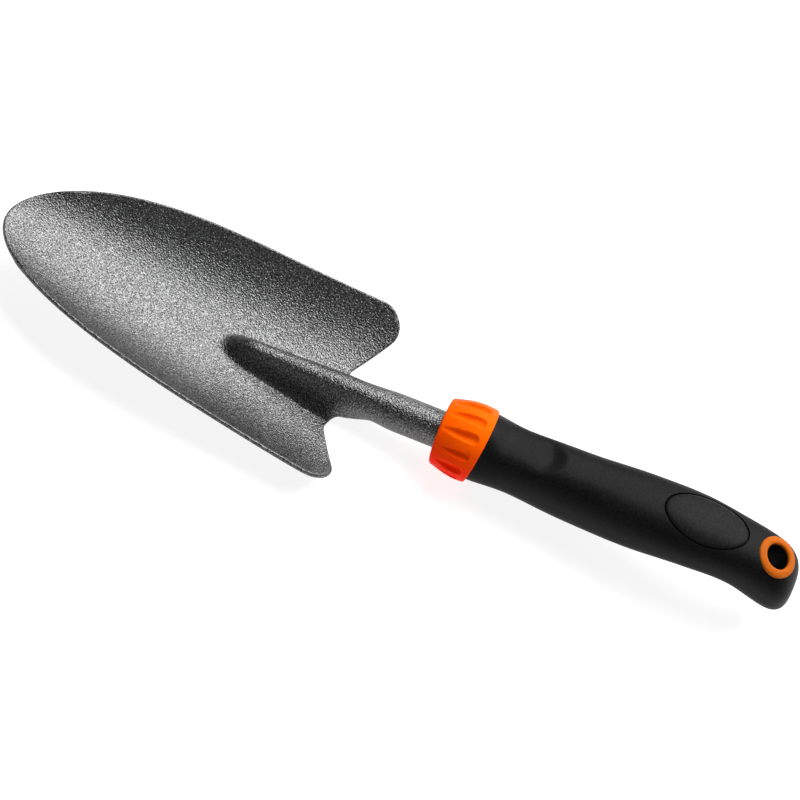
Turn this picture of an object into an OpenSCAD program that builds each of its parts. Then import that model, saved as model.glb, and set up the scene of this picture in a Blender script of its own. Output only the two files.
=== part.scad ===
// Hand trowel: a pressed steel scoop whose ridge runs into a rolled neck, a ribbed collar, and a handle
// with a stiff core, a soft grip, an oval palm pad and an eyelet to hang it by.
// It rests on the belly of the scoop and on the collar, with its tip towards -X and its hollow side up.
// The scoop is laid out by the distance d from its tip, and the handle by the distance s behind the collar.

/* [Scoop] */
// Length from the tip to the back of the shoulders
blade_l = 148.5; // [146:0.5:151]
// Width across the shoulders
blade_w = 82.5; // [78:0.5:86]
// Thickness of the steel sheet
sheet_t = 1.6; // [1.2:0.1:1.8]
// Height of the tip above the bench
tip_z = 19.5; // [18:0.5:21]
// Height of the rim where it stands highest
crest_z = 22; // [21:0.5:23]
// Height of the rim at the shoulders
shoulder_z = 13.5; // [12:0.5:14]

/* [Ridge and neck] */
// Distance from the tip to the nose of the ridge
ridge_nose_d = 93; // [90:1:96]
// Outer diameter of the rolled neck
neck_d = 14.4; // [14:0.1:14.6]
// Angle at which the neck rises from the bench
neck_tilt = 7.2; // [6.8:0.1:7.6]
// Length of the tang inside the handle
tang_l = 58; // [45:1:60]

/* [Collar] */
// Largest diameter of the collar
collar_d = 30; // [29.6:0.2:31]
// Length of the collar
collar_l = 17.4; // [17:0.2:17.8]
// Number of flutes round the collar
flute_count = 13; // [10:1:14]

/* [Handle] */
// Overall length of the trowel
total_l = 320; // [318:1:324]
// Thickness of the soft grip over the core
grip_wall = 3.4; // [3:0.1:3.6]
// Length of the palm pad
pad_l = 33; // [28:1:34]
// Width of the palm pad
pad_w = 20; // [16:1:20]
// Groove round the palm pad
pad_gap = 0.4; // [0.3:0.1:0.6]

/* [Eyelet] */
// Diameter of the hanging hole
hole_d = 9.6; // [8:0.2:10]
// Outer diameter of the eyelet's face
eyelet_d = 16; // [15:0.5:16]
// Angle between the eyelet's axis and the handle's section
eyelet_tilt = 26; // [24:1:28]

/* [Hidden] */
$fn = 64;

steel_grey = "#7d7f82";
orange = "#f9690f";
dull_orange = "#de731e";
black = "#2b2b2b";
pad_black = "#363636";

// Scoop outline: an ogive from the tip, lobed shoulders and a notch beside the neck
shoulder_w = blade_w / 2;
side_flare = 0.07;
ogive_l = 104;
crest_d = 36;
// The hollow's middle line would dip this far below the belly if the ridge didn't rise from it
belly_dip = 0.62;
// How flat the hollow is in the middle, and how steep at its sides
hollow_power = 2.6;
belly_z = sheet_t - belly_dip;
notch_d = blade_l - 10;
notch_y = 12.6;
notch_r = 3.7;
lobe_angle = 30;
// The lobe's length over its half width
lobe_ratio = 1.4;
lobe_blend = 1.2;
tip_patch_d = 12;

// Ridge: its nose is tight and it opens out to the radius of the neck
ridge_nose_r = 4;
ridge_nose_l = 10;
ridge_fillet = 6;
ridge_power = 2.5;
neck_r = neck_d / 2;
roll_l = 24;
seam_angle = 5;

// Collar and the line of the neck, which the collar's lowest edge sets
collar_back_d = 195.4;
collar_r = collar_d / 2;
collar_nose_r = 13;
collar_back_r = 14.1;
collar_belly_s = -5.5;
// The collar's lowest point is a little ahead of its belly
collar_lift = 0.18;
// The collar's rear rim leans back over the grip, which starts against it
rim_s = -1.4;
rim_lean = 10.8;
rim_top_s = 2;
lip_l = 3;
nose_round = 1.2;
grip_front_r = 13.4;
flute_r = 2.2;
flute_tip_r = 0.9;
flute_l = 14.5;
flute_depth = 1.4;
flute_rise = 7;
flute_back = 2.6;

// Handle
// The lowered end of the handle leans back by this much
end_lean = 2.05;
handle_l = (total_l - collar_back_d - end_lean) / cos(neck_tilt);
end_l = 12.5;
core_end_gap = 4.5;
core_nose_l = collar_l - lip_l;
pad_s = 85.4;
pad_floor = 7;
pad_rise = 0.5;
pad_seat_h = 30;

// Eyelet
eyelet_s = 114.1;
eyelet_z = 5.2;
eyelet_l = 21.4;
eyelet_tube_r = 6.3;
flange_t = 1.8;
flange_edge_t = 0.7;
flange_dome_w = 1.2;
flange_crown = 0.3;

function mix(a, b, t) = a + (b - a) * t;
function unit(t) = max(0, min(1, t));
function ease(t) = let (u = unit(t)) u * u * (3 - 2 * u);
// The larger of two heights, rounded where they cross
function round_max(a, b, r) = let (h = unit(0.5 + (a - b) / (2 * r))) mix(b, a, h) + r * h * (1 - h);
function normalise(v) = v / norm(v);

// The origin is under the middle of the trowel, whose underside starts a little before the tip
tip_overhang = 0.35;
module from_tip() translate([tip_overhang - total_l / 2, 0, 0]) children();

// ---- Scoop -------------------------------------------------------------------------------------

// Height of the neck's axis
function axis_z(d) = collar_r * cos(neck_tilt) + collar_lift + (d - collar_back_d - collar_belly_s) * tan(neck_tilt);

// Half width of the scoop, without the rounding of its shoulders
function side_w(d) =
    (shoulder_w + side_flare * (d - blade_l)) * pow(1 - pow(1 - unit(d / ogive_l), 3), 0.53);

function rim_z(d) = d < crest_d
    ? mix(tip_z, crest_z, sin(90 * d / crest_d))
    : mix(crest_z, shoulder_z, ease((d - crest_d) / (blade_l - crest_d)));

function floor_z(d) = mix(belly_z, tip_z, pow(1 - unit(d / blade_l), 1.75));

function hollow_z(d, y) = mix(floor_z(d), rim_z(d), pow(abs(y) / max(side_w(d), 0.01), hollow_power));

// The ridge's top line is the neck's, and its section is an arch that is as high as half its width
ridge_nose_drop = axis_z(ridge_nose_d) + neck_r - floor_z(ridge_nose_d);
function ridge_r(d) = mix(ridge_nose_r, neck_r, unit((d - ridge_nose_d) / (notch_d - ridge_nose_d)));
function ridge_z(d, y) = axis_z(d) + neck_r - ridge_r(d) * pow(abs(y) / ridge_r(d), ridge_power)
    - ridge_nose_drop * pow(max(0, 1 - (d - ridge_nose_d) / ridge_nose_l), 2);

// Height of the upper face
function face_z(d, y) = round_max(hollow_z(d, y), ridge_z(d, y), ridge_fillet);

// Rear edge: a fillet at the notch, a straight flank, and a lobe that is tangent to the flank and side
flank_d = notch_d + notch_r * (1 - cos(lobe_angle));
flank_y = notch_y + notch_r * sin(lobe_angle);
lobe_turn = atan(tan(lobe_angle) / lobe_ratio);
lobe_w = (flank_d - blade_l + tan(lobe_angle) * (shoulder_w - flank_y))
    / (tan(lobe_angle) * (1 + sin(lobe_turn)) - lobe_ratio * (1 - cos(lobe_turn)));
lobe_l = lobe_ratio * lobe_w;
lobe_d = blade_l - lobe_l;
lobe_y = shoulder_w - lobe_w;
function rear_d(y) =
    y < flank_y ? notch_d + notch_r - sqrt(notch_r * notch_r - pow(y - notch_y, 2)) :
    y < lobe_y - lobe_w * sin(lobe_turn) ? flank_d + tan(lobe_angle) * (y - flank_y) :
    lobe_d + lobe_l * sqrt(1 - pow((y - lobe_y) / lobe_w, 2));

// Side edge, which runs round the lobe as far as its corner
corner_d = lobe_d + lobe_l * cos(45);
corner_y = lobe_y + lobe_w * sin(45);
function edge_w(d) = -round_max(
    -side_w(d),
    -lobe_y - lobe_w * sqrt(max(0, 1 - pow(max(0, d - lobe_d) / lobe_l, 2))),
    lobe_blend);

// Grid over the scoop: rows run from the tip to the rear edge, and columns across.
// The middle columns carry on into the neck.
blade_rows = 34;
half_cols = 15;
neck_cols = 8;

// One side of the outline's front, its side and its rear edge
function front_edge(u) = [tip_patch_d * u * u, side_w(tip_patch_d * u * u)];
function side_edge(t) = let (d = mix(tip_patch_d, corner_d, t)) [d, edge_w(d)];
function rear_edge(u) = let (
        n = neck_cols / half_cols,
        y = u < n ? notch_y * u / n : mix(notch_y, corner_y, (u - n) / (1 - n)))
    [u < n ? notch_d : rear_d(y), y];

// A patch stretched between the edges, mirrored for the other half
function plan(u, t) = let (
        side = side_edge(t),
        mid = [mix(0, notch_d, t), 0],
        front = front_edge(u),
        rear = rear_edge(u),
        ruled = mix(front, rear, t),
        across = mix(mid, side, u),
        corners = mix(mix(front_edge(0), front_edge(1), u), mix(rear_edge(0), rear_edge(1), u), t))
    ruled + across - corners;
function blade_plan(i, j) = let (p = plan(abs(j) / half_cols, i / blade_rows)) [p[0], p[1] * sign(j)];
function face_point(p) = [p[0], p[1], face_z(p[0], p[1])];
function face_normal(p) = let (
        e = 0.02,
        dz_dd = (face_z(p[0] + e, p[1]) - face_z(p[0], p[1])) / e,
        dz_dy = (face_z(p[0], p[1] + e) - face_z(p[0], p[1] - e)) / (2 * e))
    normalise([-dz_dd, -dz_dy, 1]);

// The neck: the ridge's section, free of the scoop, curls under into a tube
neck_rows = concat(
    [for (a = [22.5:22.5:90]) notch_d + notch_r * (1 - cos(a))],
    [for (k = [1:8]) mix(notch_d + notch_r, notch_d + roll_l, k / 8)],
    [for (k = [1:4]) mix(notch_d + roll_l, collar_back_d + tang_l, k / 4)]);
function leg_w(d) = notch_y - sqrt(max(0, notch_r * notch_r - pow(max(0, notch_d + notch_r - d), 2)));
function neck_point(d, leg, c) = let (
        curl = ease((d - notch_d) / roll_l),
        a = c * (180 - seam_angle),
        tube = [d, neck_r * sin(a), axis_z(d) + neck_r * cos(a)])
    mix(face_point([d, leg * c]), tube, curl);
function neck_normal(d, leg, c) = let (
        e = 0.02,
        along = neck_point(d + e, leg, c) - neck_point(d, leg, c),
        around = neck_point(d, leg, c + e) - neck_point(d, leg, c - e))
    normalise(cross(along, around));

// Points of the upper face, and the sheet's thickness below each
sheet_rows = concat(
    [for (i = [0:blade_rows]) [for (j = [-half_cols:half_cols])
        let (p = blade_plan(i, j)) [face_point(p), face_normal(p)]]],
    [for (d = neck_rows) [for (j = [-neck_cols:neck_cols])
        let (leg = leg_w(d), c = j / neck_cols) [neck_point(d, leg, c), neck_normal(d, leg, c)]]]);
sheet_points = [for (row = sheet_rows) each row];
sheet_n = len(sheet_points);

// Index of a sheet point: the neck's rows carry on from the scoop's last row
blade_n = (blade_rows + 1) * (2 * half_cols + 1);
function blade_index(i, j) = i * (2 * half_cols + 1) + j + half_cols;
function neck_index(k, j) = k == 0
    ? blade_index(blade_rows, j)
    : blade_n + (k - 1) * (2 * neck_cols + 1) + j + neck_cols;

// Two triangles for a cell, clockwise from above
function cell(a, b, c, d) = [[a, d, c], [a, c, b]];
neck_n = len(neck_rows);
upper_faces = concat(
    [for (i = [0:blade_rows - 1], j = [-half_cols:half_cols - 1]) each cell(
        blade_index(i, j), blade_index(i + 1, j), blade_index(i + 1, j + 1), blade_index(i, j + 1))],
    [for (k = [0:neck_n - 1], j = [-neck_cols:neck_cols - 1]) each cell(
        neck_index(k, j), neck_index(k + 1, j), neck_index(k + 1, j + 1), neck_index(k, j + 1))]);
rim = concat(
    [for (j = [-half_cols:half_cols]) blade_index(0, j)],
    [for (i = [1:blade_rows]) blade_index(i, half_cols)],
    [for (j = [half_cols - 1:-1:neck_cols]) blade_index(blade_rows, j)],
    [for (k = [1:neck_n]) neck_index(k, neck_cols)],
    [for (j = [neck_cols - 1:-1:-neck_cols]) neck_index(neck_n, j)],
    [for (k = [neck_n - 1:-1:0]) neck_index(k, -neck_cols)],
    [for (j = [-neck_cols - 1:-1:-half_cols]) blade_index(blade_rows, j)],
    [for (i = [blade_rows - 1:-1:1]) blade_index(i, -half_cols)]);
rim_faces = [for (k = [0:len(rim) - 1])
    let (p = rim[k], q = rim[(k + 1) % len(rim)]) each [[q, p, p + sheet_n], [q, p + sheet_n, q + sheet_n]]];

// The whole pressing: scoop, ridge, neck and tang are one sheet
module blade()
    color(steel_grey)
        from_tip()
            polyhedron(
                points = concat(
                    [for (p = sheet_points) p[0]],
                    [for (p = sheet_points) p[0] - sheet_t * p[1]]),
                faces = concat(
                    upper_faces,
                    [for (f = upper_faces) [f[2] + sheet_n, f[1] + sheet_n, f[0] + sheet_n]],
                    rim_faces));

// ---- Handle ------------------------------------------------------------------------------------

// The handle's own frame: it starts at the collar's back, with its x axis along the neck
module on_handle()
    from_tip()
        translate([collar_back_d, 0, axis_z(collar_back_d)])
            rotate([0, -neck_tilt, 0])
                children();

// Side and plan of the handle: distance behind the collar, top, bottom and half width
grip_stations = [
    [0, grip_front_r, -grip_front_r, grip_front_r],
    [14, 11.5, -13.2, 11.8],
    [38, 10.7, -14.4, 12.5],
    [60, 11.2, -13.2, 13.8],
    [82, 10.8, -10.1, 13.8],
    [99, 9, -11.4, 12.3],
    [111, 6.5, -17.2, 11.8],
    [125, -1.7, -22.6, 12.1]];

function station_slope(i, k) = let (
        a = grip_stations[max(0, i - 1)],
        b = grip_stations[min(len(grip_stations) - 1, i + 1)])
    (b[k] - a[k]) / (b[0] - a[0]);
function station_index(s, i = 0) =
    i >= len(grip_stations) - 2 || s < grip_stations[i + 1][0] ? i : station_index(s, i + 1);
// Smooth curve through one column of the stations
function station_value(s, k) = let (
        i = station_index(s),
        a = grip_stations[i],
        b = grip_stations[i + 1],
        l = b[0] - a[0],
        t = (s - a[0]) / l,
        h = t * t * (3 - 2 * t))
    mix(a[k], b[k], h) + l * t * (1 - t) * (station_slope(i, k) * (1 - t) - station_slope(i + 1, k) * t);

// How far the section has closed in towards the handle's end, from 1 to 0
function end_scale(s, end) = pow(1 - pow(unit((s - end + end_l) / end_l), 3), 1 / 3);
// Middle height, half height and half width of the section, which lies inset from the surface
function section(s, inset) = let (
        top = station_value(s, 1) - inset,
        bottom = station_value(s, 2) + inset,
        k = end_scale(s, handle_l - (inset > 0 ? core_end_gap : 0)))
    [(top + bottom) / 2, k * (top - bottom) / 2, k * (station_value(s, 3) - inset)];
// The section is round at the collar and grows squarer behind it
function section_power(s) = mix(1, 0.75, ease(s / 30));
function signed_pow(v, n) = sign(v) * pow(abs(v), n);

ring_sides = 28;
function ring(s, inset, at = undef) = let (q = section(s, inset), n = section_power(s))
    [for (k = [0:ring_sides - 1]) let (a = 360 * k / ring_sides)
        [is_undef(at) ? s : at, q[2] * signed_pow(sin(a), n), q[0] + q[1] * signed_pow(cos(a), n)]];

// Where the collar's rear rim stands at a height, and the grip's first rings against it
function rim_at(z) = rim_s + z * tan(rim_lean);
function rim_ring(inset) = [for (p = ring(0, inset)) [rim_at(p[2]), p[1], p[2]]];

// A closed solid through a row of rings
module loft(rings) {
    m = len(rings[0]);
    last = len(rings) - 1;
    polyhedron(
        points = [for (r = rings) each r],
        faces = concat(
            [[for (k = [m - 1:-1:0]) k]],
            [for (i = [0:last - 1], k = [0:m - 1]) each cell(
                i * m + k, (i + 1) * m + k, (i + 1) * m + (k + 1) % m, i * m + (k + 1) % m)],
            [[for (k = [0:m - 1]) last * m + k]]));
}

// Stations of the rings: even along the handle, then closing in at the end
function ring_rows(end, count) = concat(
    [for (k = [0:count]) mix(0, end - end_l, k / count)],
    [for (a = [20, 35, 50, 65, 80]) end - end_l + end_l * pow(sin(a), 2 / 3)]);
core_rows = ring_rows(handle_l - core_end_gap, 16);
grip_rows = ring_rows(handle_l, 24);

module pad_seat()
    translate([pad_s, 0, pad_floor])
        linear_extrude(pad_seat_h)
            polygon([for (a = [0:7.5:359]) [pad_l / 2 * cos(a), pad_w / 2 * sin(a)]]);

module on_eyelet()
    translate([eyelet_s, 0, eyelet_z])
        rotate([0, eyelet_tilt, 0])
            children();

// The space that the eyelet takes up, open above and below
module eyelet_seat()
    on_eyelet() {
        translate([0, 0, -2 * eyelet_l])
            cylinder(r = eyelet_tube_r, h = 3 * eyelet_l);
        translate([0, 0, -flange_t])
            cylinder(d = eyelet_d, h = eyelet_l);
    }

module handle_core()
    color(dull_orange)
        on_handle()
            difference() {
                loft(concat([ring(0, grip_wall, -core_nose_l)], [for (s = core_rows) ring(s, grip_wall)]));
                translate([-2 * collar_l, 0, 0])
                    rotate([0, 90, 0])
                        cylinder(r = neck_r, h = 2 * collar_l + tang_l + 1);
                pad_seat();
                eyelet_seat();
            }

module grip()
    color(black)
        on_handle()
            difference() {
                loft(concat(
                    [for (k = [len(core_rows) - 1:-1:1]) ring(core_rows[k], grip_wall)],
                    [rim_ring(grip_wall), rim_ring(0)],
                    [for (k = [1:len(grip_rows) - 1]) ring(grip_rows[k], 0)]));
                pad_seat();
                eyelet_seat();
            }

// Height of the grip's upper surface
function grip_top(s, y) = let (q = section(s, 0), n = 1 / section_power(s))
    q[0] + q[1] * pow(1 - pow(abs(y) / q[2], 2 * n), 0.5 / n);

module palm_pad() {
    m = 40;
    steps = [0.3, 0.6, 0.8, 0.93, 1];
    half_l = pad_l / 2 - pad_gap;
    half_w = pad_w / 2 - pad_gap;
    upper = [for (r = steps, k = [0:m - 1]) let (
            s = pad_s + r * half_l * cos(360 * k / m),
            y = r * half_w * sin(360 * k / m))
        [s, y, grip_top(s, y) + pad_rise * (1 - pow(r, 6))]];
    edge = (len(steps) - 1) * m;
    foot = len(upper);
    crown = foot + m;
    color(pad_black)
        on_handle()
            polyhedron(
                points = concat(
                    upper,
                    [for (k = [0:m - 1]) [upper[edge + k][0], upper[edge + k][1], pad_floor]],
                    [[pad_s, 0, grip_top(pad_s, 0) + pad_rise]]),
                faces = concat(
                    [for (k = [0:m - 1]) [crown, (k + 1) % m, k]],
                    [for (i = [0:len(steps) - 2], k = [0:m - 1]) each cell(
                        i * m + k, (i + 1) * m + k, (i + 1) * m + (k + 1) % m, i * m + (k + 1) % m)],
                    [for (k = [0:m - 1]) each cell(
                        edge + k, foot + k, foot + (k + 1) % m, edge + (k + 1) % m)],
                    [[for (k = [0:m - 1]) foot + k]]));
}

// Barrel that widens from its rounded nose to its belly, and closes in a little at the back
collar_steps = 4;
collar_profile = concat(
    [for (a = [90:-30:0]) [nose_round * (1 - sin(a)) - collar_l, collar_nose_r - nose_round * (1 - cos(a))]],
    [for (k = [1:collar_steps]) let (t = k / collar_steps)
        [mix(nose_round - collar_l, collar_belly_s, t), mix(collar_nose_r, collar_r, sin(90 * t))]],
    [[-flute_back / 2, mix(collar_back_r, collar_r, 0.5)],
     [rim_top_s, collar_back_r]]);

module collar()
    color(orange)
        on_handle()
            difference() {
                rotate([0, 90, 0])
                    rotate_extrude()
                        polygon(concat(
                            [for (p = collar_profile) [p[1], p[0]]],
                            [[0, rim_top_s], [0, -collar_l]]));
                rotate([0, 90, 0]) {
                    translate([0, 0, -2 * collar_l])
                        cylinder(r = neck_r, h = 2 * collar_l);
                    translate([0, 0, -core_nose_l])
                        cylinder(r = grip_front_r - grip_wall, h = collar_l);
                }
                translate([rim_s, 0, 0])
                    rotate([0, rim_lean, 0])
                        translate([0, -collar_d, -collar_d])
                            cube([collar_l, 2 * collar_d, 2 * collar_d]);
                for (k = [0:flute_count - 1])
                    let (a = 360 * k / flute_count, shift = rim_at(collar_r * cos(a)))
                        rotate([a, 0, 0])
                            translate([shift, 0, 0])
                                flute(flute_l + shift);
            }

// Flute cutter: a slim cone whose round end sinks deepest just before the rear rim
module flute(l)
    translate([-flute_back - flute_r, 0, collar_r + flute_r - flute_depth]) {
        sphere(r = flute_r, $fn = 32);
        rotate([0, -90 - flute_rise, 0])
            cylinder(r1 = flute_r, r2 = flute_tip_r, h = l, $fn = 32);
    }

// Bush with a domed face, which lines the hanging hole
module eyelet()
    color(dull_orange)
        on_handle()
            on_eyelet()
                rotate_extrude()
                    polygon([
                        [hole_d / 2, -eyelet_l],
                        [eyelet_tube_r, -eyelet_l],
                        [eyelet_tube_r, -flange_t],
                        [eyelet_d / 2, -flange_t],
                        [eyelet_d / 2, flange_edge_t - flange_t],
                        [eyelet_d / 2 - flange_dome_w, -flange_crown],
                        [(eyelet_d + hole_d) / 4, 0],
                        [hole_d / 2 + flange_crown, -flange_crown],
                        [hole_d / 2, -3 * flange_crown]]);

blade();
collar();
handle_core();
grip();
palm_pad();
eyelet();
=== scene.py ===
"""Hand trowel: a hammertone scoop with a rolled neck, a fluted orange collar and a soft-grip handle.

Lengths are in millimetres until a mesh is made. The scoop is laid out by the distance d from its tip,
and the handle by the distance s behind the collar, in a frame of its own that is tilted with the neck.
"""

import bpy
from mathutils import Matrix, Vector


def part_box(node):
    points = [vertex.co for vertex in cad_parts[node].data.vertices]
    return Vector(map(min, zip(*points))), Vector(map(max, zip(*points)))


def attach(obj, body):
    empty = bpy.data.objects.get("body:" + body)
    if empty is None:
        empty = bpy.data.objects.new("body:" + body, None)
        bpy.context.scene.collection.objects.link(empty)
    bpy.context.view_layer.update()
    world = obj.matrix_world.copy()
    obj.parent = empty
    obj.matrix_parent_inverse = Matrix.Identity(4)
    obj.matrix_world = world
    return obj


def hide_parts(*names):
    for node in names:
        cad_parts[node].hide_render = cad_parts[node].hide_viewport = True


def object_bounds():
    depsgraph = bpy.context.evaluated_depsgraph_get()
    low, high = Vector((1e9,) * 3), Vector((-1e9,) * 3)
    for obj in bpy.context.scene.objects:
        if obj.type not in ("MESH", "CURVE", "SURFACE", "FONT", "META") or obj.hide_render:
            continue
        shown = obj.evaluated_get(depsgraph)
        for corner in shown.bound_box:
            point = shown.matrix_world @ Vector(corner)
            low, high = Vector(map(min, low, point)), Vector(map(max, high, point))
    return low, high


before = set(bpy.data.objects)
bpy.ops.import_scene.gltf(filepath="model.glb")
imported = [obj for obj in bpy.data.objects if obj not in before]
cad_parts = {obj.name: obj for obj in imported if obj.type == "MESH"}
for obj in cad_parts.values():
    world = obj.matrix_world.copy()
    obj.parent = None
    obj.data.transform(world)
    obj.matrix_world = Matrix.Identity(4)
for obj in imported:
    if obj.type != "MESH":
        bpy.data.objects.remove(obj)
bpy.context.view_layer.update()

from math import atan2, cos, pi, radians, sin, sqrt, tan

import bmesh
import bpy
from mathutils import Matrix, Vector

MM = 0.001

# Scoop
BLADE_L, BLADE_W, SHEET_T = 148.5, 82.5, 1.6
TIP_Z, CREST_Z, SHOULDER_Z = 19.5, 22.0, 13.5
SIDE_FLARE, OGIVE_L, CREST_D = 0.07, 104.0, 36.0
OGIVE_POWER, OGIVE_ROOT = 3, 0.53
# The hollow's middle line would dip this far below the belly if the ridge didn't rise from it
BELLY_DIP = 0.62
BELLY_Z = SHEET_T - BELLY_DIP
HOLLOW_POWER, FLOOR_POWER = 2.6, 1.75
NOTCH_D, NOTCH_Y, NOTCH_R = BLADE_L - 10, 12.6, 3.7
LOBE_ANGLE, LOBE_RATIO, LOBE_BLEND = radians(30), 1.4, 1.2
TIP_PATCH_D = 12.0
# Rounding of the sheet's edge, and how far it has turned at each of its rings
RIM_R, RIM_BENDS = 0.55, (radians(30), radians(60), radians(90))
# Rows of the scoop's grid, its columns from the middle to the side, and those from the middle to a notch
ROWS, HALF, NECK_HALF = 88, 34, 18
# Rows beside the notches, along the rest of the roll and along the tube
NOTCH_ROWS, ROLL_ROWS, TUBE_ROWS = 8, 20, 24

# Ridge and neck
RIDGE_NOSE_D, RIDGE_NOSE_R, RIDGE_NOSE_L, RIDGE_FILLET = 93.0, 4.0, 10.0, 6.0
RIDGE_POWER = 2.5
NECK_R, NECK_TILT = 7.2, radians(7.2)
ROLL_L, TANG_L = 24.0, 58.0
SEAM_ANGLE = radians(5)

# Collar
COLLAR_BACK_D, COLLAR_R, COLLAR_L = 195.4, 15.0, 17.4
COLLAR_NOSE_R, COLLAR_BACK_R, COLLAR_BELLY_S = 13.0, 14.1, -5.5
COLLAR_LIFT = 0.18
COLLAR_BACK_POWER = 1.5
NOSE_ROUND, LIP_ROUND, ROUND_STEPS, BARREL_STEPS = 1.2, 0.7, 6, 56
# The rear rim leans back over the grip, which starts against it
RIM_S, RIM_LEAN, RIM_TOP_S = -1.4, radians(10.8), 2.0
FLUTES, FLUTE_R, FLUTE_TIP_R, FLUTE_L = 13, 2.2, 0.9, 14.5
FLUTE_DEPTH, FLUTE_RISE, FLUTE_BACK = 1.4, radians(7), 2.6
FLUTE_BLEND, FLUTE_COLUMNS = 0.45, 24
# The wall in the collar's nose, and the gap and chamfer where the neck passes through it
NOSE_WALL, NECK_GAP, BORE_CHAMFER = 3.0, 0.05, 0.5

# Handle
TOTAL_L, END_LEAN = 320.0, 2.05
HANDLE_L = (TOTAL_L - COLLAR_BACK_D - END_LEAN) / cos(NECK_TILT)
GRIP_FRONT_R, GRIP_WALL = 13.4, 3.4
CORE_R = GRIP_FRONT_R - GRIP_WALL
# The grip's rounded end, the leaning part of its front, and the mouth that the core fills
END_L, END_POWER, LEAN_L, MOUTH_L = 12.5, 3, 8.0, 6.0
# The grip's section turns from round to squarish over this length
SQUARE_L, SQUARE_POWER = 30.0, 0.75
GRIP_SIDES, GRIP_ROWS, END_STEP = 128, 170, 4
THUMB_START, THUMB_END, THUMB_W, THUMB_DEPTH, THUMB_BOW = 1.5, 31.5, 10.5, 1.8, 9.0
THUMB_EASE_IN, THUMB_EASE_OUT, THUMB_POWER = 8.0, 7.0, 1.5
PAD_S, PAD_L, PAD_W, PAD_GAP, PAD_FLOOR, PAD_RISE = 85.4, 33.0, 20.0, 0.4, 7.0, 0.48
# The pad's crown, and the share of its half width where its edge starts to fall, and by how much
PAD_CROWN_POWER, PAD_EDGE, PAD_EDGE_DROP = 6, 0.93, 0.6
# The cutter for the pad's seat ends above the grip
SEAT_TOP = 30.0
ROUND_SIDES = 96

# Eyelet
HOLE_R, EYELET_R, EYELET_L = 4.8, 8.0, 21.4
EYELET_S, EYELET_Z, EYELET_TILT, FLANGE_T = 114.1, 5.2, radians(26), 1.8
# The ring's gaps in its seat, at its foot and its edge. Its face is a rounded edge and a crown
RING_FOOT_GAP, RING_GAP = 0.1, 0.05
RING_EDGE_H, RING_EDGE_W = 0.9, 1.0
RING_CROWN_R, RING_CROWN_H, RING_CROWN_W = EYELET_R - 1.2, 0.3, 1.1
# The ring turns down into the hole: depths below its top, and distances from the hole's wall
RING_LIP = [(0.02, 0.8), (0.15, 0.35), (0.48, 0.1), (0.9, 0), (1.1, 0), (1.1, 0.6)]
RING_WALL = 0.6
# The hole's lining starts just inside the ring and stands a little back from it
LINING_TOP, LINING_WALL, LINING_STEP = 1.0, 1.0, 0.02

# The tip of the scoop's upper face, a little behind the foremost point of the CAD blade's box
TIP_OVERHANG = 0.43
TIP_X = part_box("blade")[0][0] / MM + TIP_OVERHANG
# Least half width, so that nothing is divided by 0 at the tip
LEAST_W = 0.01


def mix(a, b, t):
    return a + (b - a) * t


def unit(t):
    return max(0.0, min(1.0, t))


def ease(t):
    u = unit(t)
    return u * u * (3 - 2 * u)


def round_max(a, b, r):
    h = unit(0.5 + (a - b) / (2 * r))
    return mix(b, a, h) + r * h * (1 - h)


def round_min(a, b, r):
    return -round_max(-a, -b, r)


def frange(a, b, count):
    """count + 1 values from a to b."""
    return [mix(a, b, k / count) for k in range(count + 1)]


# ---- Meshes ------------------------------------------------------------------------------------


def from_tip(p):
    """A point in metres, from one in millimetres measured from the scoop's tip."""
    return Vector((p[0] + TIP_X, p[1], p[2])) * MM


def on_handle(p):
    """A point of the handle's own frame, which starts at the collar's back with x along the neck."""
    x = p[0] * cos(NECK_TILT) - p[2] * sin(NECK_TILT)
    z = p[0] * sin(NECK_TILT) + p[2] * cos(NECK_TILT)
    return from_tip((COLLAR_BACK_D + x, p[1], axis_z(COLLAR_BACK_D) + z))


def on_eyelet(p):
    """A point of the eyelet's own frame, whose z axis is the axis of the hole."""
    x = p[0] * cos(EYELET_TILT) + p[2] * sin(EYELET_TILT)
    z = p[2] * cos(EYELET_TILT) - p[0] * sin(EYELET_TILT)
    return on_handle((EYELET_S + x, p[1], EYELET_Z + z))


def closed_object(name, points, faces):
    """A mesh object from points in metres, with its faces turned outwards."""
    mesh = bpy.data.meshes.new(name)
    mesh.from_pydata(points, [], faces)
    bm = bmesh.new()
    bm.from_mesh(mesh)
    bmesh.ops.recalc_face_normals(bm, faces=bm.faces)
    bm.to_mesh(mesh)
    bm.free()
    obj = bpy.data.objects.new(name, mesh)
    bpy.context.scene.collection.objects.link(obj)
    return obj


def piece(name, points, faces, material, slot, node=None, place=from_tip):
    """A smooth mesh piece made from points in millimetres."""
    obj = closed_object(name, [place(p) for p in points], faces)
    obj.data.polygons.foreach_set("use_smooth", [True] * len(obj.data.polygons))
    obj.data.materials.append(material)
    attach(obj, "root")
    if node:
        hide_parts(node)
    return obj


def grid_faces(rows, cols, closed_cols=False, closed_rows=False):
    """Quads over a grid of points, row by row."""
    return [(i * cols + j, (i + 1) % rows * cols + j,
             (i + 1) % rows * cols + (j + 1) % cols, i * cols + (j + 1) % cols)
            for i in range(rows if closed_rows else rows - 1)
            for j in range(cols if closed_cols else cols - 1)]


def lathe(profile, sides):
    """Points and faces of a closed profile [(x, r)] turned round the x axis."""
    points = [(x, r * sin(2 * pi * k / sides), r * cos(2 * pi * k / sides))
              for x, r in profile for k in range(sides)]
    return points, grid_faces(len(profile), sides, closed_cols=True, closed_rows=True)


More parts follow.
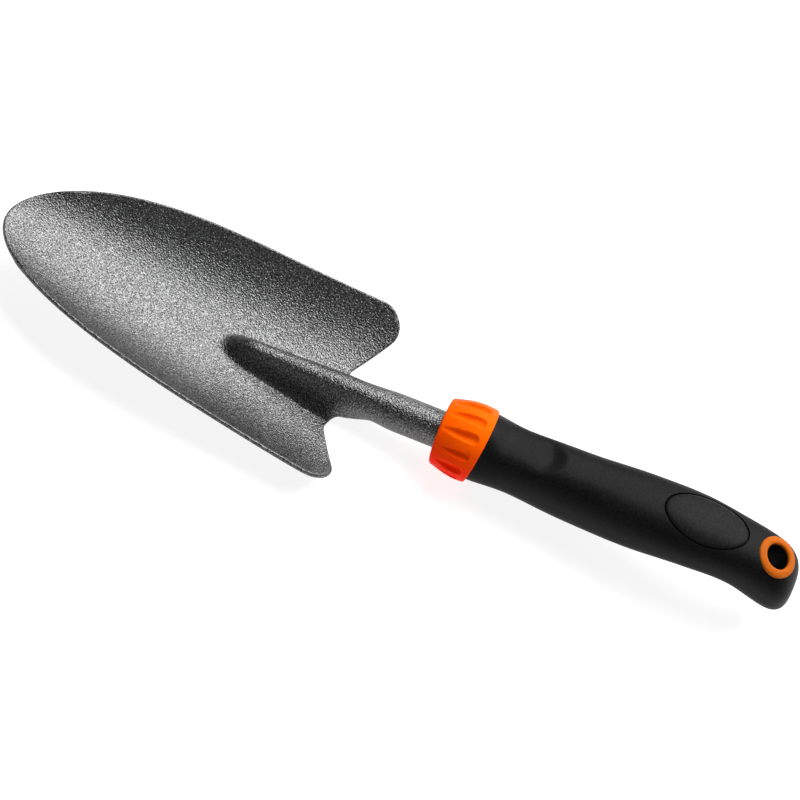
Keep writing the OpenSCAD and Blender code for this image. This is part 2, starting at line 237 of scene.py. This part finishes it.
def cut(obj, tool):
    """Cuts the tool's shape out of a piece and throws the tool away."""
    mod = obj.modifiers.new("cut", "BOOLEAN")
    mod.operation, mod.solver, mod.object = "DIFFERENCE", "EXACT", tool
    deps = bpy.context.evaluated_depsgraph_get()
    mesh = bpy.data.meshes.new_from_object(obj.evaluated_get(deps), depsgraph=deps)
    obj.modifiers.remove(mod)
    old = obj.data
    obj.data = mesh
    bpy.data.meshes.remove(old)
    bpy.data.objects.remove(tool)


def tool_solid(name, rings, place):
    """A closed solid through two or more rings, used as a cutter."""
    cols = len(rings[0])
    points = [place(p) for ring in rings for p in ring]
    faces = grid_faces(len(rings), cols, closed_cols=True)
    faces += [tuple(range(cols - 1, -1, -1)), tuple(range((len(rings) - 1) * cols, len(rings) * cols))]
    return closed_object(name, points, faces)


def sharpen(obj, angle):
    """Smooth shading, but split where two faces meet at more than the angle."""
    mesh = obj.data
    mesh.polygons.foreach_set("use_smooth", [True] * len(mesh.polygons))
    bm = bmesh.new()
    bm.from_mesh(mesh)
    for edge in bm.edges:
        edge.smooth = len(edge.link_faces) != 2 or edge.calc_face_angle(0) < angle
    bm.to_mesh(mesh)
    bm.free()


# ---- Scoop -------------------------------------------------------------------------------------


def axis_z(d):
    """Height of the neck's axis, which the collar's lowest edge sets."""
    belly_z = COLLAR_R * cos(NECK_TILT) + COLLAR_LIFT
    return belly_z + (d - COLLAR_BACK_D - COLLAR_BELLY_S) * tan(NECK_TILT)


def side_w(d):
    """Half width of the scoop, without the rounding of its shoulders."""
    ogive = (1 - (1 - unit(d / OGIVE_L)) ** OGIVE_POWER) ** OGIVE_ROOT
    return (BLADE_W / 2 + SIDE_FLARE * (d - BLADE_L)) * ogive


def rim_z(d):
    if d < CREST_D:
        return mix(TIP_Z, CREST_Z, sin(pi / 2 * d / CREST_D))
    return mix(CREST_Z, SHOULDER_Z, ease((d - CREST_D) / (BLADE_L - CREST_D)))


def floor_z(d):
    return mix(BELLY_Z, TIP_Z, (1 - unit(d / BLADE_L)) ** FLOOR_POWER)


NOSE_DROP = axis_z(RIDGE_NOSE_D) + NECK_R - floor_z(RIDGE_NOSE_D)


def ridge_z(d, y):
    """The ridge's top line is the neck's, and its section is an arch as high as half its width."""
    radius = mix(RIDGE_NOSE_R, NECK_R, unit((d - RIDGE_NOSE_D) / (NOTCH_D - RIDGE_NOSE_D)))
    drop = NOSE_DROP * max(0, 1 - (d - RIDGE_NOSE_D) / RIDGE_NOSE_L) ** 2
    return axis_z(d) + NECK_R - radius * (abs(y) / radius) ** RIDGE_POWER - drop


def face_z(d, y):
    """Height of the scoop's upper face."""
    hollow = mix(floor_z(d), rim_z(d), (abs(y) / max(side_w(d), LEAST_W)) ** HOLLOW_POWER)
    return round_max(hollow, ridge_z(d, y), RIDGE_FILLET)


FLANK_D = NOTCH_D + NOTCH_R * (1 - cos(LOBE_ANGLE))
FLANK_Y = NOTCH_Y + NOTCH_R * sin(LOBE_ANGLE)
LOBE_TURN = atan2(tan(LOBE_ANGLE), LOBE_RATIO)
LOBE_W = ((FLANK_D - BLADE_L + tan(LOBE_ANGLE) * (BLADE_W / 2 - FLANK_Y))
          / (tan(LOBE_ANGLE) * (1 + sin(LOBE_TURN)) - LOBE_RATIO * (1 - cos(LOBE_TURN))))
LOBE_L = LOBE_RATIO * LOBE_W
LOBE_D, LOBE_Y = BLADE_L - LOBE_L, BLADE_W / 2 - LOBE_W
CORNER_D, CORNER_Y = LOBE_D + LOBE_L * sqrt(0.5), LOBE_Y + LOBE_W * sqrt(0.5)


def rear_d(y):
    """Rear edge of the scoop: a notch's fillet, a straight flank and a round lobe."""
    if y < FLANK_Y:
        return NOTCH_D + NOTCH_R - sqrt(max(0, NOTCH_R ** 2 - (y - NOTCH_Y) ** 2))
    if y < LOBE_Y - LOBE_W * sin(LOBE_TURN):
        return FLANK_D + tan(LOBE_ANGLE) * (y - FLANK_Y)
    return LOBE_D + LOBE_L * sqrt(max(0, 1 - ((y - LOBE_Y) / LOBE_W) ** 2))


def edge_w(d):
    """Half width of the scoop, with its side blended into the lobe."""
    lobe = LOBE_Y + LOBE_W * sqrt(max(0, 1 - (max(0, d - LOBE_D) / LOBE_L) ** 2))
    return round_min(side_w(d), lobe, LOBE_BLEND)


def plan(u, t):
    """A patch stretched between the middle line, the side, the tip's outline and the rear edge."""
    def front(v):
        return Vector((TIP_PATCH_D * v * v, side_w(TIP_PATCH_D * v * v)))

    def rear(v):
        n = NECK_HALF / HALF
        y = NOTCH_Y * v / n if v < n else mix(NOTCH_Y, CORNER_Y, (v - n) / (1 - n))
        return Vector((NOTCH_D if v <= n else rear_d(y), y))

    d = mix(TIP_PATCH_D, CORNER_D, t)
    side, middle = Vector((d, edge_w(d))), Vector((NOTCH_D * t, 0))
    corners = mix(mix(front(0), front(1), u), mix(rear(0), rear(1), u), t)
    return mix(front(u), rear(u), t) + mix(middle, side, u) - corners


def normal_of(point, a, b, step=0.02):
    """Normal of the surface that a function of two values describes."""
    along = point(a + step, b) - point(a, b)
    across = point(a, b + step) - point(a, b - step)
    return along.cross(across).normalized()


def scoop_point(d, y):
    return Vector((d, y, face_z(d, y)))


def leg_w(d):
    """Half width of the sheet between the notches."""
    return NOTCH_Y - sqrt(max(0, NOTCH_R ** 2 - max(0, NOTCH_D + NOTCH_R - d) ** 2))


def neck_point(d, c):
    """The ridge's section, free of the scoop, curls under into a tube. c runs from -1 to 1 across it."""
    curl = ease((d - NOTCH_D) / ROLL_L)
    a = c * (pi - SEAM_ANGLE)
    tube = Vector((d, NECK_R * sin(a), axis_z(d) + NECK_R * cos(a)))
    return mix(scoop_point(d, leg_w(d) * c), tube, curl)


def sheet_grid():
    """Points of the upper face with their normals, the grid's faces, and the rim in order."""
    cols, neck_cols = 2 * HALF + 1, 2 * NECK_HALF + 1
    points = []
    for i in range(ROWS + 1):
        for j in range(-HALF, HALF + 1):
            p = plan(abs(j) / HALF, i / ROWS)
            d, y = p[0], p[1] * (1 if j > 0 else -1)
            points.append((scoop_point(d, y), normal_of(scoop_point, d, y)))
    neck_rows = ([NOTCH_D + NOTCH_R * (1 - cos(a)) for a in frange(0, pi / 2, NOTCH_ROWS)[1:]]
                 + frange(NOTCH_D + NOTCH_R, NOTCH_D + ROLL_L, ROLL_ROWS)[1:]
                 + frange(NOTCH_D + ROLL_L, COLLAR_BACK_D + TANG_L, TUBE_ROWS)[1:])
    for d in neck_rows:
        for j in range(-NECK_HALF, NECK_HALF + 1):
            c = j / NECK_HALF
            points.append((neck_point(d, c), normal_of(neck_point, d, c)))
    blade_n = (ROWS + 1) * cols

    def blade(i, j):
        return i * cols + j + HALF

    def neck(k, j):
        return blade(ROWS, j) if k == 0 else blade_n + (k - 1) * neck_cols + j + NECK_HALF

    last = len(neck_rows)
    faces = [(blade(i, j), blade(i + 1, j), blade(i + 1, j + 1), blade(i, j + 1))
             for i in range(ROWS) for j in range(-HALF, HALF)]
    faces += [(neck(k, j), neck(k + 1, j), neck(k + 1, j + 1), neck(k, j + 1))
              for k in range(last) for j in range(-NECK_HALF, NECK_HALF)]
    rim = [blade(0, j) for j in range(-HALF, HALF + 1)]
    rim += [blade(i, HALF) for i in range(1, ROWS + 1)]
    rim += [blade(ROWS, j) for j in range(HALF - 1, NECK_HALF - 1, -1)]
    rim += [neck(k, NECK_HALF) for k in range(1, last + 1)]
    rim += [neck(last, j) for j in range(NECK_HALF - 1, -NECK_HALF - 1, -1)]
    rim += [neck(k, -NECK_HALF) for k in range(last - 1, -1, -1)]
    rim += [blade(ROWS, j) for j in range(-NECK_HALF - 1, -HALF - 1, -1)]
    rim += [blade(i, -HALF) for i in range(ROWS - 1, 0, -1)]
    return points, faces, rim


def make_blade(material):
    """One sheet, its lower face offset along the normals, and a rounded rim between the two."""
    sheet, faces, rim = sheet_grid()
    upper = [p.copy() for p, _ in sheet]
    lower = [p - n * SHEET_T for p, n in sheet]
    count, around = len(sheet), len(rim)
    outward = []
    for k, index in enumerate(rim):
        tangent = sheet[rim[(k + 1) % around]][0] - sheet[rim[k - 1]][0]
        outward.append(sheet[index][1].cross(tangent).normalized())
    edge = [(RIM_R * (1 - sin(a)), RIM_R * (1 - cos(a))) for a in RIM_BENDS]
    edge += [(inset, SHEET_T - depth) for inset, depth in reversed(edge[:-1])]
    rings = [[sheet[index][0] - outward[k] * inset - sheet[index][1] * depth
              for k, index in enumerate(rim)] for inset, depth in edge]
    for k, index in enumerate(rim):
        upper[index] -= outward[k] * RIM_R
        lower[index] -= outward[k] * RIM_R
    points = upper + lower + [p for ring in rings for p in ring]
    quads = faces + [tuple(i + count for i in reversed(f)) for f in faces]
    loops = [rim] + [[2 * count + r * around + k for k in range(around)] for r in range(len(rings))]
    loops.append([i + count for i in rim])
    for a, b in zip(loops, loops[1:]):
        quads += [(a[(k + 1) % around], a[k], b[k], b[(k + 1) % around]) for k in range(around)]
    piece("trowel_blade", points, quads, material, "hammertone_steel", "blade")


# ---- Collar ------------------------------------------------------------------------------------


def rim_at(z):
    """Where the collar's rear rim stands at a height."""
    return RIM_S + z * tan(RIM_LEAN)


def collar_radius(x, end):
    """Barrel that widens from its nose to its belly and closes in a little towards its end."""
    belly = COLLAR_BELLY_S
    if x < belly:
        t = (x + COLLAR_L - NOSE_ROUND) / (belly + COLLAR_L - NOSE_ROUND)
        r = mix(COLLAR_NOSE_R, COLLAR_R, sin(pi / 2 * unit(t)))
    else:
        r = mix(COLLAR_R, COLLAR_BACK_R, ((x - belly) / (RIM_TOP_S - belly)) ** COLLAR_BACK_POWER)
    nose = unit((x + COLLAR_L) / NOSE_ROUND)
    lip = unit((end - x) / LIP_ROUND)
    return (r - NOSE_ROUND * (1 - sqrt(1 - (1 - nose) ** 2))
            - LIP_ROUND * (1 - sqrt(1 - (1 - lip) ** 2)))


def fluted_radius(x, end, angle, shift):
    """Radius of the collar at an angle from the middle of the nearest flute, which is shifted along."""
    body, side, length = collar_radius(x, end), COLLAR_R * angle, FLUTE_L + shift
    ahead = shift - FLUTE_BACK - FLUTE_R - x
    if ahead < 0:
        reach, drop = sqrt(max(0, FLUTE_R ** 2 - ahead ** 2)), 0
    else:
        reach, drop = mix(FLUTE_R, FLUTE_TIP_R, min(1, ahead / length)), ahead * tan(FLUTE_RISE)
    if abs(side) >= reach or ahead > length + FLUTE_TIP_R:
        return body
    groove = COLLAR_R + FLUTE_R - FLUTE_DEPTH - drop - sqrt(reach ** 2 - side ** 2)
    return round_min(body, groove, FLUTE_BLEND)


def make_collar(material):
    """The barrel column by column round the collar, then the bore for the core and the neck."""
    sides = FLUTES * FLUTE_COLUMNS
    turns = frange(0, pi / 2, ROUND_STEPS)
    nose = [-COLLAR_L + NOSE_ROUND * (1 - cos(t)) for t in turns[:-1]]
    lip = [-LIP_ROUND * (1 - sin(t)) for t in turns[1:]]
    neck_bore = NECK_R + NECK_GAP
    columns = []
    for k in range(sides):
        a = 2 * pi * k / sides
        nearest = (k + FLUTE_COLUMNS // 2) // FLUTE_COLUMNS * FLUTE_COLUMNS
        off, shift = (k - nearest) * 2 * pi / sides, rim_at(COLLAR_R * cos(2 * pi * nearest / sides))
        end = rim_at(COLLAR_BACK_R * cos(a))
        barrel = frange(-COLLAR_L + NOSE_ROUND, end - LIP_ROUND, BARREL_STEPS)
        xs = nose + barrel + [end + x for x in lip]
        column = [(x, fluted_radius(x, end, off, shift)) for x in xs]
        column += [(rim_at(CORE_R * cos(a)), CORE_R), (-COLLAR_L + NOSE_WALL, CORE_R),
                   (-COLLAR_L + NOSE_WALL, neck_bore), (-COLLAR_L + BORE_CHAMFER, neck_bore),
                   (-COLLAR_L, neck_bore + BORE_CHAMFER)]
        columns.append([(x, r * sin(a), r * cos(a)) for x, r in column])
    points = [column[i] for i in range(len(columns[0])) for column in columns]
    faces = grid_faces(len(columns[0]), sides, closed_cols=True, closed_rows=True)
    collar = piece("fluted_collar", points, faces, material, "collar_orange", "collar", on_handle)
    sharpen(collar, radians(50))


# ---- Handle ------------------------------------------------------------------------------------

# Distance behind the collar, top, bottom and half width
STATIONS = [
    (0, GRIP_FRONT_R, -GRIP_FRONT_R, GRIP_FRONT_R),
    (14, 11.5, -13.2, 11.8),
    (38, 10.7, -14.4, 12.5),
    (60, 11.2, -13.2, 13.8),
    (82, 10.8, -10.1, 13.8),
    (99, 9, -11.4, 12.3),
    (111, 6.5, -17.2, 11.8),
    (125, -1.7, -22.6, 12.1)]


def station_value(s, k):
    """Smooth curve through one column of the stations."""
    last = len(STATIONS) - 1
    i = max([0] + [n for n in range(last) if STATIONS[n][0] <= s])

    def slope(n):
        a, b = STATIONS[max(0, n - 1)], STATIONS[min(last, n + 1)]
        return (b[k] - a[k]) / (b[0] - a[0])

    a, b = STATIONS[i], STATIONS[i + 1]
    length = b[0] - a[0]
    t = (s - a[0]) / length
    h = t * t * (3 - 2 * t)
    return mix(a[k], b[k], h) + length * t * (1 - t) * (slope(i) * (1 - t) - slope(i + 1) * t)


def section(s):
    """Middle height, half height and half width of the grip."""
    top, bottom = station_value(s, 1), station_value(s, 2)
    k = (1 - unit((s - HANDLE_L + END_L) / END_L) ** END_POWER) ** (1 / END_POWER)
    return (top + bottom) / 2, k * (top - bottom) / 2, k * station_value(s, 3)


def section_power(s):
    return mix(1, SQUARE_POWER, ease(s / SQUARE_L))


def signed_pow(v, n):
    return (1 if v > 0 else -1) * abs(v) ** n


def thumb_dip(s, y):
    """Depth of the thumb rest, a shallow dish on top just behind the collar."""
    across = unit(1 - (y / THUMB_W) ** 2) ** THUMB_POWER
    end = THUMB_END - THUMB_BOW * (y / THUMB_W) ** 2
    along = ease((s - THUMB_START) / THUMB_EASE_IN) * ease((end - s) / THUMB_EASE_OUT)
    return THUMB_DEPTH * across * along


def grip_point(s, a):
    """A point of the grip's surface, whose front leans with the collar's rim."""
    x = s + rim_at(GRIP_FRONT_R * cos(a)) * max(0, 1 - s / LEAN_L)
    middle, height, width = section(max(0, x))
    n = section_power(x)
    y, z = width * signed_pow(sin(a), n), middle + height * signed_pow(cos(a), n)
    if cos(a) > 0:
        z -= thumb_dip(x, y)
    return x, y, z


def grip_top(s, y):
    """Height of the grip's surface above a point of its middle plane."""
    middle, height, width = section(s)
    n = section_power(s)
    return middle + height * (1 - (abs(y) / width) ** (2 / n)) ** (n / 2)


def circle(count):
    """Cosine and sine at each of count steps round a circle."""
    return [(cos(2 * pi * k / count), sin(2 * pi * k / count)) for k in range(count)]


def make_grip(material):
    """The soft grip, with the mouth for the core in its front, the pad's seat and the eyelet's hole."""
    sides = GRIP_SIDES
    rows = frange(0, HANDLE_L - END_L, GRIP_ROWS)
    rows += [HANDLE_L - END_L + END_L * sin(radians(a)) ** (2 / END_POWER)
             for a in range(3, 90, END_STEP)]
    points = [grip_point(s, 2 * pi * k / sides) for s in rows for k in range(sides)]
    pole = len(points)
    points.append((HANDLE_L, 0, section(HANDLE_L)[0]))
    front = len(points)
    points += [(rim_at(CORE_R * c), CORE_R * s, CORE_R * c) for c, s in circle(sides)]
    back = len(points)
    points += [(MOUTH_L, CORE_R * s, CORE_R * c) for c, s in circle(sides)]
    faces = grid_faces(len(rows), sides, closed_cols=True)
    end = (len(rows) - 1) * sides
    faces += [(end + k, end + (k + 1) % sides, pole) for k in range(sides)]
    for a, b in ((0, front), (front, back)):
        faces += [(a + k, a + (k + 1) % sides, b + (k + 1) % sides, b + k) for k in range(sides)]
    faces.append(tuple(back + k for k in range(sides)))
    grip = piece("soft_grip", points, faces, material, "grip_rubber", "grip", on_handle)
    seat = [[(PAD_S + PAD_L / 2 * c, PAD_W / 2 * s, z) for c, s in circle(ROUND_SIDES)]
            for z in (PAD_FLOOR, SEAT_TOP)]
    cut(grip, tool_solid("seat", seat, on_handle))
    steps = [(-2 * EYELET_L, HOLE_R), (-FLANGE_T, HOLE_R), (-FLANGE_T, EYELET_R), (EYELET_L, EYELET_R)]
    hole = [[(r * c, r * s, z) for c, s in circle(ROUND_SIDES)] for z, r in steps]
    cut(grip, tool_solid("hole", hole, on_eyelet))
    sharpen(grip, radians(40))


def make_pad(material):
    """The palm pad: a low crown that follows the grip, with a rounded edge inside the groove."""
    sides = ROUND_SIDES
    half_l, half_w = PAD_L / 2 - PAD_GAP, PAD_W / 2 - PAD_GAP
    points = [(PAD_S, 0, grip_top(PAD_S, 0) + PAD_RISE)]
    radii = frange(0, 0.9, 14)[1:] + [PAD_EDGE, 0.955, 0.975, 0.99, 1]
    for r in radii:
        edge = unit((r - PAD_EDGE) / (1 - PAD_EDGE))
        lift = PAD_RISE * (1 - r ** PAD_CROWN_POWER) - PAD_EDGE_DROP * (1 - sqrt(1 - edge ** 2))
        for c, s in circle(sides):
            x, y = PAD_S + r * half_l * c, r * half_w * s
            points.append((x, y, grip_top(x, y) + lift))
    points += [(PAD_S + half_l * c, half_w * s, PAD_FLOOR) for c, s in circle(sides)]
    faces = [(0, 1 + k, 1 + (k + 1) % sides) for k in range(sides)]
    faces += [tuple(i + 1 for i in f) for f in grid_faces(len(radii) + 1, sides, closed_cols=True)]
    faces.append(tuple(1 + len(radii) * sides + k for k in range(sides)))
    pad = piece("palm_pad_cover", points, faces, material, "pad_rubber", "palm_pad", on_handle)
    sharpen(pad, radians(60))


def bend(x, r, height, width, angles):
    """Points at angles along a quarter ellipse from (x, r) that rises by height and closes in by width."""
    return [(x + height * sin(radians(a)), r - width * (1 - cos(radians(a)))) for a in angles]


def make_eyelet(orange, black):
    """The orange ring, and below it the dark lining of the hole."""
    def place(p):
        return on_eyelet((p[1], p[2], p[0]))

    edge_x = -RING_CROWN_H - RING_EDGE_H
    profile = [(-FLANGE_T, HOLE_R + RING_WALL), (-FLANGE_T, EYELET_R - RING_FOOT_GAP)]
    profile += bend(edge_x, EYELET_R - RING_GAP, RING_EDGE_H, RING_EDGE_W, range(0, 81, 20))
    profile += bend(-RING_CROWN_H, RING_CROWN_R, RING_CROWN_H, RING_CROWN_W, (30, 60, 90))
    profile += [(-depth, HOLE_R + reach) for depth, reach in RING_LIP]
    sleeve = [(-LINING_TOP, HOLE_R + LINING_STEP), (-EYELET_L, HOLE_R), (-EYELET_L, HOLE_R + LINING_WALL),
              (-LINING_TOP, HOLE_R + LINING_WALL)]
    ring = piece("eyelet_ring", *lathe(profile, ROUND_SIDES), orange, "eyelet_orange", "eyelet", place)
    lining = piece("hole_lining", *lathe(sleeve, ROUND_SIDES), black, "grip_rubber", place=place)
    for obj in (ring, lining):
        sharpen(obj, radians(60))


# ---- Materials ---------------------------------------------------------------------------------


# Heights in metres between which a moulded plastic's colour turns to its top colour, which is painted
# light: a lighter, yellower top where the overhead light falls
PAINTED_LIGHT_HEIGHTS = 0.012, 0.033
# The eyelet and the core reflect in this orange
WARM_SHINE = 1, 0.5, 0.1


class Nodes:
    """Short calls for building a node material. Texture scales are in cells per metre."""

    def __init__(self, name):
        self.material = bpy.data.materials.new(name)
        self.material.use_nodes = True
        self.tree = self.material.node_tree
        self.shader = self.tree.nodes["Principled BSDF"]
        self.coords = self.tree.nodes.new("ShaderNodeTexCoord").outputs["Object"]

    def link(self, a, b):
        self.tree.links.new(a, b)

    def noise(self, scale, detail=2.0, roughness=0.5):
        node = self.tree.nodes.new("ShaderNodeTexNoise")
        node.inputs["Scale"].default_value = scale
        node.inputs["Detail"].default_value = detail
        node.inputs["Roughness"].default_value = roughness
        self.link(self.coords, node.inputs["Vector"])
        return node.outputs["Fac"]

    def cells(self, scale):
        node = self.tree.nodes.new("ShaderNodeTexVoronoi")
        node.feature = "SMOOTH_F1"
        node.inputs["Scale"].default_value = scale
        node.inputs["Smoothness"].default_value = 0.6
        self.link(self.coords, node.inputs["Vector"])
        return node.outputs["Distance"]

    def height(self, low, high):
        """From 0 to 1 between two heights in metres."""
        node = self.tree.nodes.new("ShaderNodeSeparateXYZ")
        self.link(self.coords, node.inputs[0])
        scale = self.tree.nodes.new("ShaderNodeMapRange")
        scale.interpolation_type = "SMOOTHSTEP"
        scale.inputs["From Min"].default_value = low
        scale.inputs["From Max"].default_value = high
        self.link(node.outputs["Z"], scale.inputs["Value"])
        return scale.outputs["Result"]

    def ramp(self, value, stops):
        """Greys or colours at stops along a value."""
        node = self.tree.nodes.new("ShaderNodeValToRGB")
        elements = node.color_ramp.elements
        while len(elements) < len(stops):
            elements.new(0.5)
        for element, (at, colour) in zip(elements, stops):
            element.position = at
            element.color = (colour, colour, colour, 1) if isinstance(colour, float) else (*colour, 1)
        self.link(value, node.inputs["Fac"])
        return node.outputs["Color"]

    def blend(self, factor, a, b, mode="MIX"):
        node = self.tree.nodes.new("ShaderNodeMix")
        node.data_type, node.blend_type = "RGBA", mode
        for value, socket in ((factor, node.inputs[0]), (a, node.inputs[6]), (b, node.inputs[7])):
            if isinstance(value, bpy.types.NodeSocket):
                self.link(value, socket)
            else:
                socket.default_value = value if isinstance(value, float) else (*value, 1)
        return node.outputs[2]

    def bump(self, layers):
        """Stacked bumps from (height, strength, distance in metres)."""
        last = None
        for height, strength, distance in layers:
            node = self.tree.nodes.new("ShaderNodeBump")
            node.inputs["Strength"].default_value = strength
            node.inputs["Distance"].default_value = distance
            self.link(height, node.inputs["Height"])
            if last:
                self.link(last, node.inputs["Normal"])
            last = node.outputs["Normal"]
        self.link(last, self.shader.inputs["Normal"])

    def set(self, **values):
        for name, value in values.items():
            socket = self.shader.inputs[name.replace("_", " ")]
            if isinstance(value, bpy.types.NodeSocket):
                self.link(value, socket)
            else:
                socket.default_value = value


def hammertone():
    """Grey enamel full of aluminium flake, drawn up into small light and dark grains."""
    n = Nodes("hammertone_enamel")
    grain = n.noise(1800, 1.5, 0.5)
    cells = n.cells(1300)
    patch = n.noise(60, 2.0)
    flake = n.ramp(grain, [(0.32, 0.045), (0.5, 0.11), (0.68, 0.24)])
    tint = n.ramp(patch, [(0.3, (0.93, 0.93, 0.94)), (0.7, (1.0, 1.0, 1.0))])
    n.set(Base_Color=n.blend(1.0, flake, tint, "MULTIPLY"), Metallic=0.97,
          Roughness=n.ramp(grain, [(0.3, 0.3), (0.7, 0.4)]))
    n.bump([(grain, 0.9, 0.00035), (cells, 0.3, 0.00025)])
    return n.material


def moulded(name, base, light, rough, gloss, shine, top=None):
    """Moulded plastic: faint flow marks, a fine grain, an uneven gloss, and, where a top colour is given,
    painted light: a lighter, yellower top.
    """
    n = Nodes(name)
    flow = n.noise(45, 3.0)
    fine = n.noise(2600, 2.0)
    colour = n.ramp(flow, [(0.3, base), (0.7, light)])
    if top:
        # Painted light: the colour turns lighter and yellower towards the top, where the overhead light
        # falls
        colour = n.blend(n.height(*PAINTED_LIGHT_HEIGHTS), colour, top)
    n.set(Base_Color=colour,
          Roughness=n.ramp(flow, [(0.3, rough), (0.7, rough + 0.08)]),
          Specular_IOR_Level=gloss, Specular_Tint=(*shine, 1))
    n.bump([(fine, 0.12, 0.00006), (flow, 0.1, 0.0002)])
    return n.material


def rubber(name, base, light, grain):
    """Soft-touch rubber with a fine spark-eroded grain."""
    n = Nodes(name)
    fine = n.noise(grain, 3.0, 0.6)
    pits = n.cells(grain * 0.6)
    worn = n.noise(35, 3.0)
    mottle = n.ramp(fine, [(0.35, base), (0.65, light)])
    dust = n.ramp(worn, [(0.35, (0.9, 0.9, 0.9)), (0.7, (1.12, 1.12, 1.13))])
    n.set(Base_Color=n.blend(1.0, mottle, dust, "MULTIPLY"),
          Roughness=n.ramp(worn, [(0.3, 0.42), (0.7, 0.5)]), Specular_IOR_Level=0.065)
    n.bump([(fine, 0.3, 0.00012), (pits, 0.2, 0.0001)])
    return n.material


def floor_material():
    n = Nodes("studio_floor")
    cloud = n.noise(6, 2.0)
    n.set(Base_Color=n.ramp(cloud, [(0.3, 0.32), (0.7, 0.34)]), Roughness=0.9,
          Emission_Color=(1, 1, 1, 1), Emission_Strength=0.86)
    return n.material


# ---- Studio ------------------------------------------------------------------------------------


def make_camera():
    azimuth, elevation, roll = radians(0.754), radians(57.73), radians(24.91)
    distance, view_width, sensor = 1.15, 0.2932, 36.0
    target = Vector((0.0, 0, 0.02004))
    back = Vector((sin(azimuth) * cos(elevation), -cos(azimuth) * cos(elevation), sin(elevation)))
    right = Vector((cos(azimuth), sin(azimuth), 0))
    up = back.cross(right)
    across = right * cos(roll) + up * sin(roll)
    upward = up * cos(roll) - right * sin(roll)
    data = bpy.data.cameras.new("camera")
    data.sensor_width, data.lens = sensor, sensor * distance / view_width
    data.clip_start, data.clip_end = 0.05, 50
    cam = bpy.data.objects.new("camera", data)
    rotation = Matrix((across, upward, back)).transposed()
    cam.matrix_world = Matrix.Translation(target + back * distance) @ rotation.to_4x4()
    bpy.context.scene.collection.objects.link(cam)
    bpy.context.scene.camera = cam


def soft_box(name, place, target, size, power):
    """A rectangular lamp, in metres and watts, turned towards its target."""
    data = bpy.data.lights.new(name, "AREA")
    data.shape, data.size, data.size_y, data.energy = "RECTANGLE", size[0], size[1], power
    light = bpy.data.objects.new(name, data)
    light.location = place
    light.rotation_euler = (Vector(target) - Vector(place)).to_track_quat("-Z", "Y").to_euler()
    bpy.context.scene.collection.objects.link(light)


def make_floor():
    """A pale square floor, just under the trowel's lowest point."""
    half, gap = 4.0, 0.0002
    mesh = bpy.data.meshes.new("floor")
    corners = [(-half, -half, 0), (half, -half, 0), (half, half, 0), (-half, half, 0)]
    mesh.from_pydata(corners, [], [(0, 1, 2, 3)])
    mesh.materials.append(floor_material())
    floor = bpy.data.objects.new("floor", mesh)
    floor.location.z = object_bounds()[0][2] - gap
    bpy.context.scene.collection.objects.link(floor)


def make_world():
    """A dim room, which the camera sees as a white backdrop."""
    world = bpy.data.worlds.new("studio")
    world.use_nodes = True
    tree = world.node_tree
    room, backdrop = tree.nodes["Background"], tree.nodes.new("ShaderNodeBackground")
    path, either = tree.nodes.new("ShaderNodeLightPath"), tree.nodes.new("ShaderNodeMixShader")
    for background, strength in ((room, 0.09), (backdrop, 0.95)):
        background.inputs["Color"].default_value = (1, 1, 1, 1)
        background.inputs["Strength"].default_value = strength
    tree.links.new(path.outputs["Is Camera Ray"], either.inputs["Fac"])
    tree.links.new(room.outputs["Background"], either.inputs[1])
    tree.links.new(backdrop.outputs["Background"], either.inputs[2])
    tree.links.new(either.outputs["Shader"], tree.nodes["World Output"].inputs["Surface"])
    bpy.context.scene.world = world


def make_lights():
    soft_box("far_fill", place=(1.2, 2.2, 0.85), target=(0, 0, 0.1), size=(2.6, 1.1), power=17)
    soft_box("key", place=(0.3, 0.76, 1.22), target=(0, 0, 0), size=(1.7, 1.1), power=45)
    soft_box("near_fill", place=(-0.2, -2.2, 0.75), target=(0, 0, 0.1), size=(2.4, 1.0), power=6)


make_camera()
grip_black = rubber("grip_rubber", (0.003, 0.003, 0.0031), (0.008, 0.008, 0.0082), grain=1400)
make_blade(hammertone())
# The collar's top colour is painted light: lighter and yellower towards its top, redder below
make_collar(moulded("collar_plastic", (0.98, 0.014, 0.0005), (1.0, 0.018, 0.0005),
                    rough=0.4, gloss=0.05, shine=(1, 0.5, 0.02), top=(0.98, 0.125, 0.001)))
make_grip(grip_black)
make_pad(rubber("pad_rubber", (0.005, 0.005, 0.0052), (0.012, 0.012, 0.0122), grain=1100))
make_eyelet(moulded("eyelet_plastic", (0.42, 0.09, 0.006), (0.46, 0.1, 0.007),
                    rough=0.5, gloss=0.15, shine=WARM_SHINE), grip_black)
# The core keeps its own solid and only gets a plastic
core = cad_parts["handle_core"]
core.data.materials.clear()
core.data.materials.append(moulded("core_plastic", (0.7, 0.15, 0.01), (0.76, 0.18, 0.012),
                                   rough=0.5, gloss=0.3, shine=WARM_SHINE))
make_floor()
make_world()
make_lights()
bpy.context.scene.view_settings.view_transform = "Standard"
